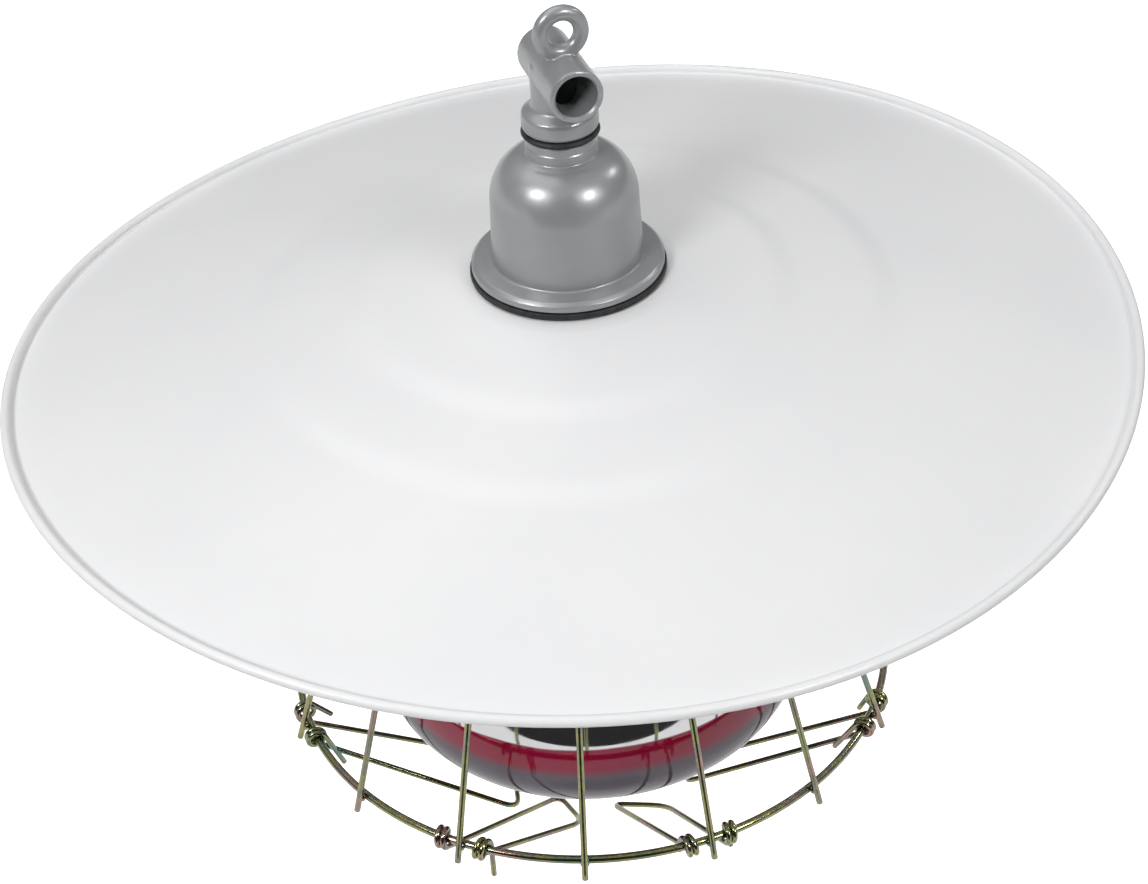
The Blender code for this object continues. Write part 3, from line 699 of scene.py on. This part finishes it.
LOOKS = {
    "grey_plastic": grey_plastic("look_grey_plastic"),
    "black_rubber": rubber("look_black_rubber"),
    "white_enamel": white_enamel("look_white_enamel"),
    "yellow_zinc": yellow_zinc("look_yellow_zinc"),
    "ceramic": ceramic("look_ceramic"),
    "brass": plain_metal("look_brass", (0.55, 0.38, 0.14), (0.70, 0.52, 0.22), 0.24, 0.40),
    "steel": plain_metal("look_steel", (0.44, 0.44, 0.45), (0.60, 0.60, 0.61), 0.24, 0.40),
    "ruby_glass": reflector_glass("look_reflector_glass"),
    "aluminium": plain_metal("look_aluminium", (0.58, 0.58, 0.59), (0.72, 0.72, 0.73), 0.28, 0.42),
    "black_glass": dark_glass("look_black_glass", (0.010, 0.010, 0.013), (0.025, 0.025, 0.03)),
    "solder": plain_metal("look_solder", (0.40, 0.40, 0.42), (0.58, 0.58, 0.60), 0.35, 0.55),
    "clear_glass": dark_glass("look_mount_glass", (0.55, 0.60, 0.60), (0.66, 0.70, 0.70)),
    "tungsten": plain_metal("look_tungsten", (0.16, 0.16, 0.17), (0.26, 0.26, 0.27), 0.40, 0.55),
}

NODE_SLOTS = {row["node"]: row["material_slot"] for row in frame["record"]["subparts"]}


# ---------------------------------------------------------------- shade


def shade_height(radius):
    """The shade's top surface: a shallow cone with two soft spun steps."""
    steps = len(SHADE_STEP_RADII) * SHADE_STEP_DROP
    share = (radius - SHADE_SEAT_R) / (SHADE_FOOT_R - SHADE_SEAT_R)
    height = SHADE_SEAT_TOP + (SHADE_FOOT_Z + steps - SHADE_SEAT_TOP) * max(0.0, share)
    for step_r in SHADE_STEP_RADII:
        t = (radius - step_r + SHADE_STEP_HALF_WIDTH) / (2 * SHADE_STEP_HALF_WIDTH)
        t = min(1.0, max(0.0, t))
        height -= SHADE_STEP_DROP * t * t * (3 - 2 * t)
    return height


def warped(radius, height, turn):
    """A point of the shade, moved by how far the thin sheet is out of true there."""
    share = max(0.0, (radius - SHADE_SEAT_R) / (SHADE_R - SHADE_SEAT_R)) ** WARP_GROWTH
    radius += share * WARP_WIDEN * cos(2 * (turn - radians(WARP_WIDEN_AT)))
    height += share * WARP_RISE * cos(2 * (turn - radians(WARP_RISE_AT)))
    return (radius * cos(turn), radius * sin(turn), height)


def make_shade():
    top = [(r, shade_height(r)) for r in SHADE_RADII]
    bead = arc(SHADE_R - BEAD_R, BEAD_Z, BEAD_R, *BEAD_TURN, 22)
    under = [(r, z - SHADE_SHEET) for r, z in reversed(top)]
    profile = [*top, *bead, *under]
    lathe("shade_sheet", profile, 256, LOOKS["white_enamel"], place=warped,
          stands_for="shade", slot="white_enamel", sharp=50)


# ---------------------------------------------------------------- holder


def make_holder():
    dome = []
    for i in range(DOME_STEPS + 1):
        t = radians(DOME_TURN - DOME_TURN * i / DOME_STEPS)
        dome.append((NECK_R + (DOME_FOOT_R - NECK_R) * cos(t),
                     DOME_FOOT_Z + (DOME_TOP - DOME_FOOT_Z) * sin(t)))
    shown = [p for p in dome if p[0] > NECK_PROFILE[-1][0] + 0.1]
    side, top = BELL_WALL
    inner = [(r - side, z - top) for r, z in reversed(dome) if r - side > NECK_BORE_R + 0.1]
    outer = [*filleted(NECK_PROFILE), *shown, *filleted(SKIRT_PROFILE, 6)]
    points, faces = lathe_mesh([*outer, *inner, (NECK_BORE_R, NECK_FLOOR)], 144)
    nub_turn = radians(NUB_TURN)
    nub = blob_mesh(
        (NUB_AT[0] * cos(nub_turn), NUB_AT[0] * sin(nub_turn), NUB_AT[1]), (NUB_R,) * 3,
        (Vector((1, 0, 0)), Vector((0, 1, 0)), Vector((0, 0, 1))), 6, 10,
    )
    mesh_piece("holder_bell", *joined((points, faces), nub), LOOKS["grey_plastic"],
               stands_for="holder_shell", slot="grey_plastic", sharp=40)


def raw_object(name, points, faces):
    """A closed object for the Boolean steps, from points in mm."""
    mesh = bpy.data.meshes.new(name)
    mesh.from_pydata([placed(p) for p in points], [], faces)
    obj = bpy.data.objects.new(name, mesh)
    bpy.context.scene.collection.objects.link(obj)
    shape = bmesh.new()
    shape.from_mesh(mesh)
    bmesh.ops.remove_doubles(shape, verts=shape.verts, dist=0.0000005)
    bmesh.ops.recalc_face_normals(shape, faces=shape.faces)
    shape.to_mesh(mesh)
    shape.free()
    return obj


def settle(obj):
    """Turns the object's modifiers into its mesh."""
    graph = bpy.context.evaluated_depsgraph_get()
    graph.update()
    done = bpy.data.meshes.new_from_object(obj.evaluated_get(graph))
    obj.modifiers.clear()
    obj.data = done


def blended(obj):
    """Melts the object's joins together, as in one moulding."""
    step = obj.modifiers.new("remesh", "REMESH")
    step.mode = "VOXEL"
    step.voxel_size = CAP_VOXEL * MM
    step.use_smooth_shade = True
    even = obj.modifiers.new("even", "SMOOTH")
    even.factor = 0.5
    even.iterations = CAP_SMOOTHING
    settle(obj)


def combine(obj, operation, parts):
    """Adds or cuts away each named shape in turn."""
    for name, shape in parts:
        other = raw_object(name, *shape)
        step = obj.modifiers.new(name, "BOOLEAN")
        step.operation = operation
        step.solver = "EXACT"
        step.object = other
        settle(obj)
        bpy.data.objects.remove(other)


def lying(profile, segments):
    """A profile turned round the cable entry's axis. Its heights run towards the front."""
    lie_down = Matrix.Translation((0, 0, TUBE_Z)) @ Matrix.Rotation(pi / 2, 4, "X")
    points, faces = lathe_mesh(profile, segments, closed=False)
    return turned_to(points, lie_down), faces


def make_cable_cap():
    body = lathe_mesh(filleted(CAP_PROFILE, 4), 96, closed=False)
    points, faces = lathe_mesh(arc(EYE_R, 0.0, EYE_WIRE_R, 90, -270, 28)[:-1], 96)
    stand = Matrix.Translation((0, -EYE_FORWARD, EYE_CENTRE_Z)) @ Matrix.Rotation(pi / 2, 4, "X")
    eye = (turned_to(points, stand), faces)
    cap = raw_object("cable_cap_moulding", *body)
    combine(cap, "UNION", (("tube_shape", lying(TUBE_PROFILE, 96)), ("ring_shape", eye)))
    blended(cap)

    way = lathe_mesh(WAY_PROFILE, 64, closed=False)
    points, faces = lathe_mesh(SCOOP_PROFILE, 64, closed=False)
    scoop = ([(SCOOP_NARROWING * x, y, z) for x, y, z in points], faces)
    bore = lying(BORE_PROFILE, 72)
    combine(cap, "DIFFERENCE", (("bore_shape", bore), ("way_shape", way), ("scoop_shape", scoop)))
    finish_mesh(cap, 32)
    dress(cap, LOOKS["grey_plastic"], "fixture", "cable_cap")


def gripped(r, z, turn):
    """A point of the ring nut, drawn in where the finger grips are."""
    if r > NUT_GRIP_R:
        share = abs((turn * NUT_GRIPS / (2 * pi)) % 1.0 - 0.5) * 2
        dip = max(0.0, share - NUT_GRIP_START) / (1 - NUT_GRIP_START)
        r -= NUT_GRIP_DEPTH * dip * dip * (3 - 2 * dip)
    return (r * cos(turn), r * sin(turn), z)


def notched(r, z, turn):
    """A point of the retaining ring, raised where a key's notches are."""
    if z < RETAINER_NOTCH_Z:
        share = abs((turn * RETAINER_NOTCHES / (2 * pi)) % 1.0 - 0.5) * 2
        if share > RETAINER_NOTCH_START:
            z += RETAINER_NOTCH_DEPTH
    return (r * cos(turn), r * sin(turn), z)


def make_small_rings():
    seal = [(SEAL_AT[0] + SEAL_HALF_SIZE[0] * x, SEAL_AT[1] + SEAL_HALF_SIZE[1] * z)
            for x, z in arc(0.0, 0.0, 1.0, 90, -270, 18)[:-1]]
    lathe("neck_ring", seal, 96, LOOKS["black_rubber"], stands_for="neck_seal", slot="black_rubber")
    lathe("flange_gasket_ring", filleted(GASKET_PROFILE)[:-1], 120, LOOKS["black_rubber"],
          stands_for="flange_gasket", slot="black_rubber")
    lathe("clamp_ring_plate", filleted(CLAMP_PROFILE)[:-1], 96, LOOKS["yellow_zinc"],
          stands_for="guard_clamp_ring", slot="yellow_zinc")
    nut = filleted(NUT_PROFILE)
    for i in range(NUT_THREADS * 4):
        z = NUT_THREAD_BOTTOM + NUT_THREAD_LENGTH * i / (NUT_THREADS * 4)
        nut.append((NUT_THREAD_R - NUT_THREAD_DEPTH * cos(2 * pi * i / 4), z))
    lathe("shade_ring_nut", nut, 216, LOOKS["grey_plastic"], place=gripped,
          stands_for="ring_nut", slot="grey_plastic")
    lathe("retainer_ring", filleted(RETAINER_PROFILE)[:-1], 160, LOOKS["grey_plastic"], place=notched,
          stands_for="insert_retainer", slot="grey_plastic")


# ---------------------------------------------------------------- guard


def rib_line():
    """A rib's wire in its own upright plane, where it crosses the hoop, and its slope there."""
    start = Vector(RIB_START)
    corner = Vector(RIB_CORNER)
    crossing = Vector((HOOP_R + HOOP_WIRE_R + RIB_WIRE_R + RIB_GAP, HOOP_Z))
    down = (crossing - corner).normalized()
    inwards = (start - corner).normalized()
    bend = []
    for i in range(11):
        t = i / 10
        a = corner + inwards * RIB_BEND * (1 - t)
        b = corner + down * RIB_BEND * t
        bend.append(a.lerp(b, t))
    return [start, *bend, crossing, crossing + down * RIB_END], crossing, down


def make_guard():
    turns = [2 * pi * i / 240 for i in range(240)]
    circle = [(HOOP_R * cos(t), HOOP_R * sin(t), HOOP_Z) for t in turns]
    hoop = tube_mesh(circle, HOOP_WIRE_R, 16, closed=True)
    mesh_piece("hoop_wire", *hoop, LOOKS["yellow_zinc"], stands_for="guard_hoop", slot="yellow_zinc")
    line, crossing, down = rib_line()
    for i in range(RIB_COUNT):
        turn = radians(GUARD_TURN) + 2 * pi * i / RIB_COUNT
        out = Vector((cos(turn), sin(turn), 0.0))
        up = Vector((0.0, 0.0, 1.0))
        lay = [out * p.x + up * p.y for p in spaced(line, 4.0)]
        wire = tube_mesh(lay, RIB_WIRE_R, 14)
        along = (out * down.x + up * down.y).normalized()
        across = Vector((-sin(turn), cos(turn), 0.0))
        normal = along.cross(across)
        weld_at = out * (crossing.x - RIB_WIRE_R - WELD_INSET) + up * HOOP_Z
        weld = blob_mesh(weld_at, WELD_HALF_SIZES, (across, normal, along))
        foot_at = out * FOOT_AT[0] + up * FOOT_AT[1]
        foot = blob_mesh(foot_at + up * FOOT_RISE, FOOT_HALF_SIZES, (out, across, up))
        mesh_piece(f"rib_wire_{i + 1:02d}", *joined(wire, weld, foot), LOOKS["yellow_zinc"],
                   stands_for=f"guard_rib_{i + 1:02d}", slot="yellow_zinc")


def petal_eye(side, lean, length):
    """One end of a petal's wire, from its cut end to where its leg leaves the hoop."""
    leave = 270 + PETAL_SLOPE
    start = leave + 360 + (180 - lean - leave) % 360
    steps = 44
    points = []
    for i in range(steps + 1):
        t = i / steps
        turn = radians(start + (leave - start) * t)
        y = PETAL_EYE_Y + PETAL_EYE_PITCH * (start - leave) / 360 * (1 - t)
        points.append(Vector((PETAL_EYE_R * cos(turn), side * y, PETAL_EYE_R * sin(turn))))
    down = radians(270 - lean)
    end = points[0] + Vector((cos(down), 0.0, sin(down))) * length
    return [end, *points]


def rounded_corner(before, corner, after, radius):
    """Points round one corner of a bent wire."""
    towards = (before - corner).normalized()
    away = (after - corner).normalized()
    reach = min(radius, 0.45 * (after - corner).length, 0.45 * (before - corner).length)
    start = corner + towards * reach
    end = corner + away * reach
    return [start.lerp(corner, k / 10).lerp(corner.lerp(end, k / 10), k / 10) for k in range(11)]


def make_petals():
    """Each petal is an eye round the hoop, a leg, two corners, the other leg and its eye."""
    slope = radians(180 + PETAL_SLOPE)
    along = Vector((cos(slope), 0.0, sin(slope)))
    for i, (corner_a, corner_b, tail_a, tail_b) in enumerate(PETAL_SHAPES):
        eye_a = petal_eye(-1, *tail_a)
        eye_b = petal_eye(1, *tail_b)
        below = Vector((eye_a[-1].x, 0.0, eye_a[-1].z))
        tip_a = below + along * corner_a[0] + Vector((0.0, corner_a[1], 0.0))
        tip_b = below + along * corner_b[0] + Vector((0.0, corner_b[1], 0.0))
        first = rounded_corner(eye_a[-1], tip_a, tip_b, PETAL_CORNER_R)
        second = rounded_corner(tip_a, tip_b, eye_b[-1], PETAL_CORNER_R)
        line = [*eye_a, *first, *second, *reversed(eye_b)]
        turn = radians(GUARD_TURN) + 2 * pi * i / len(PETAL_SHAPES)
        spot = Matrix.Translation((HOOP_R * cos(turn), HOOP_R * sin(turn), HOOP_Z))
        place = spot @ Matrix.Rotation(turn, 4, "Z")
        line = [place @ p for p in spaced(line, 3.0)]
        mesh_piece(f"petal_wire_{i + 1}", *tube_mesh(line, PETAL_WIRE_R, 12), LOOKS["yellow_zinc"],
                   body=f"petal_{i + 1}", stands_for=f"guard_petal_{i + 1}", slot="yellow_zinc")


# ---------------------------------------------------------------- bulb


def make_bulb():
    reflector = [tuple(p) for p in through(BULB_OUTLINE, 8)]
    dome_h = BULB_WIDEST_Z - BULB_FRONT_Z
    dome = []
    for i in range(1, BULB_FACE_STEPS + 1):
        a = radians(90 * i / BULB_FACE_STEPS)
        r = BULB_R * max(0.0, cos(a)) ** BULB_FACE_POWER if i < BULB_FACE_STEPS else 0.0
        dome.append((r, BULB_WIDEST_Z - dome_h * sin(a)))
    outer = [*reflector, *dome]
    inner = []
    for r, z in outer:
        wall = GLASS * min(1.0, r / 20 + 0.3)
        inner.append((max(0.0, r - wall), z + (0.6 * GLASS if z < BULB_WIDEST_Z else 0.0)))
    profile = [*outer, *reversed(inner), outer[0]]
    lathe("bulb_envelope", profile, 160, LOOKS["ruby_glass"], closed=False, body="bulb",
          stands_for="bulb_glass", slot="ruby_glass")


# ---------------------------------------------------------------- studio


def area_light(name, at, size, power):
    """A square white light, turned towards the lamp."""
    data = bpy.data.lights.new(name, "AREA")
    data.shape = "SQUARE"
    data.size = size
    data.energy = power
    light = bpy.data.objects.new(name, data)
    bpy.context.scene.collection.objects.link(light)
    light.location = at
    light.rotation_euler = (LIGHTS_AIM - Vector(at)).to_track_quat("-Z", "Y").to_euler()
    return light


def at_direction(azimuth, elevation, distance):
    """A point round the lamp, in metres."""
    a, e = radians(azimuth), radians(elevation)
    return (distance * cos(a) * cos(e), distance * sin(a) * cos(e), distance * sin(e) + STUDIO_CENTRE_Z)


def stage_piece(name, points, faces, glow, rays, fade=None):
    """A room, floor or card that only the named kinds of ray meet.

    A fade is a pair of distances from the first point, between which the glow rises to full.
    """
    look = Look("look_" + name, Roughness=0.9, Specular_IOR_Level=0.0)
    share = 0.9 if glow in (0.0, 1.0) else 0.0
    look.colour(look.ramp(look.noise(3, 3), [(0.3, share), (0.7, share * 1.03)]))
    look.shader.inputs["Emission Color"].default_value = (1.0, 1.0, 1.0, 1.0)
    look.shader.inputs["Emission Strength"].default_value = glow
    mesh = bpy.data.meshes.new(name)
    mesh.from_pydata(points, [], faces)
    mesh.materials.append(look.material)
    obj = bpy.data.objects.new(name, mesh)
    bpy.context.scene.collection.objects.link(obj)
    for kind in ("camera", "diffuse", "glossy", "transmission", "volume_scatter", "shadow"):
        setattr(obj, "visible_" + kind, kind in rays)
    if fade:
        away = look.add("VectorMath", operation="DISTANCE")
        away.inputs[1].default_value = points[0]
        look.link(look.where(), away.inputs[0])
        glowing = look.between(away.outputs["Value"], *fade, glow, CARD_BRIGHT)
        look.link(glowing, look.shader.inputs["Emission Strength"])
    return obj


def flag_mesh(azimuth, elevation, half_width, half_height):
    """A dark oval card, bent round the lamp, by its middle and its half-sizes in degrees."""
    points = [at_direction(azimuth, elevation, CARD_DISTANCE)]
    faces = []
    rings, sides = 6, 48
    for k in range(1, rings + 1):
        for i in range(sides):
            t = 2 * pi * i / sides
            points.append(at_direction(azimuth + half_width * k / rings * cos(t),
                                       elevation + half_height * k / rings * sin(t), CARD_DISTANCE))
    for i in range(sides):
        m = (i + 1) % sides
        faces.append((0, 1 + i, 1 + m))
        for k in range(rings - 1):
            here, after = 1 + k * sides, 1 + (k + 1) * sides
            faces.append((here + i, after + i, after + m, here + m))
    return points, faces


def make_world():
    """Light from all round: bright below the horizon, dim just above it and paler overhead."""
    world = bpy.data.worlds.new("studio")
    bpy.context.scene.world = world
    world.use_nodes = True
    nodes, links = world.node_tree.nodes, world.node_tree.links
    background = nodes["Background"]
    where = nodes.new("ShaderNodeTexCoord")
    split = nodes.new("ShaderNodeSeparateXYZ")
    ramp = nodes.new("ShaderNodeValToRGB")
    rise = nodes.new("ShaderNodeMapRange")
    rise.inputs["From Min"].default_value = -1.0
    rise.inputs["From Max"].default_value = 1.0
    links.new(where.outputs["Generated"], split.inputs["Vector"])
    links.new(split.outputs["Z"], rise.inputs["Value"])
    links.new(rise.outputs["Result"], ramp.inputs["Fac"])
    while len(ramp.color_ramp.elements) < len(WORLD_TONES):
        ramp.color_ramp.elements.new(0.5)
    for element, (spot, tone) in zip(ramp.color_ramp.elements, WORLD_TONES):
        element.position = spot
    for element, (spot, tone) in zip(ramp.color_ramp.elements, WORLD_TONES):
        element.color = (tone, tone, tone, 1.0)
    links.new(ramp.outputs["Color"], background.inputs["Color"])
    background.inputs["Strength"].default_value = 1.0


def make_room():
    """A plain white floor, walls and ceiling to look at, a floor that returns light, and two cards."""
    corners = [(x * ROOM_HALF, y * ROOM_HALF, 0) for x, y in ((-1, -1), (1, -1), (1, 1), (-1, 1))]
    above = [(x, y, ROOM_HEIGHT) for x, y, z in corners]
    sides = [(k, (k + 1) % 4, 4 + (k + 1) % 4, 4 + k) for k in range(4)]
    seen = stage_piece("floor", [*corners, *above], [(0, 1, 2, 3), (4, 5, 6, 7), *sides], 1.0, ("camera",))
    seen.location.z = -ROOM_DROP
    bounce = stage_piece("floor_bounce", corners, [(0, 1, 2, 3)], 0.0, ("diffuse", "shadow"))
    bounce.location.z = -BOUNCE_DROP
    stage_piece("flag_front", *flag_mesh(-107.0, 14.5, 60.0, 36.5), 0.03, ("glossy",))
    stage_piece("flag_below", *flag_mesh(-107.0, -61.0, 80.0, 36.0), 0.5, ("glossy",), (0.2, 0.6))


def make_lights():
    """One light over all, lights that only shade, and lights that only show as shine."""
    area_light("overhead", *OVERHEAD)
    for name, azimuth, elevation, distance, size, power in SHADING_LIGHTS:
        area_light(name, at_direction(azimuth, elevation, distance), size, power).visible_glossy = False
    for name, azimuth, elevation, distance, size, power in SHINE_LIGHTS:
        area_light(name, at_direction(azimuth, elevation, distance), size, power).visible_diffuse = False


def make_camera():
    data = bpy.data.cameras.new("camera")
    data.lens = CAMERA_LENS
    data.sensor_width = CAMERA_SENSOR
    data.clip_start = CAMERA_CLIP
    camera = bpy.data.objects.new("camera", data)
    bpy.context.scene.collection.objects.link(camera)
    camera.location = CAMERA_AT
    camera.rotation_euler = [radians(a) for a in CAMERA_TURN]
    bpy.context.scene.camera = camera


make_shade()
make_holder()
make_cable_cap()
make_small_rings()
make_guard()
make_petals()
make_bulb()
for node, slot in NODE_SLOTS.items():
    obj = frame["nodes"][node]
    if not obj.hide_render:
        obj.data.materials.clear()
        obj.data.materials.append(LOOKS[slot])
bpy.context.scene.view_settings.view_transform = "Standard"
bpy.context.scene.view_settings.look = "None"
make_world()
make_room()
make_lights()
make_camera()
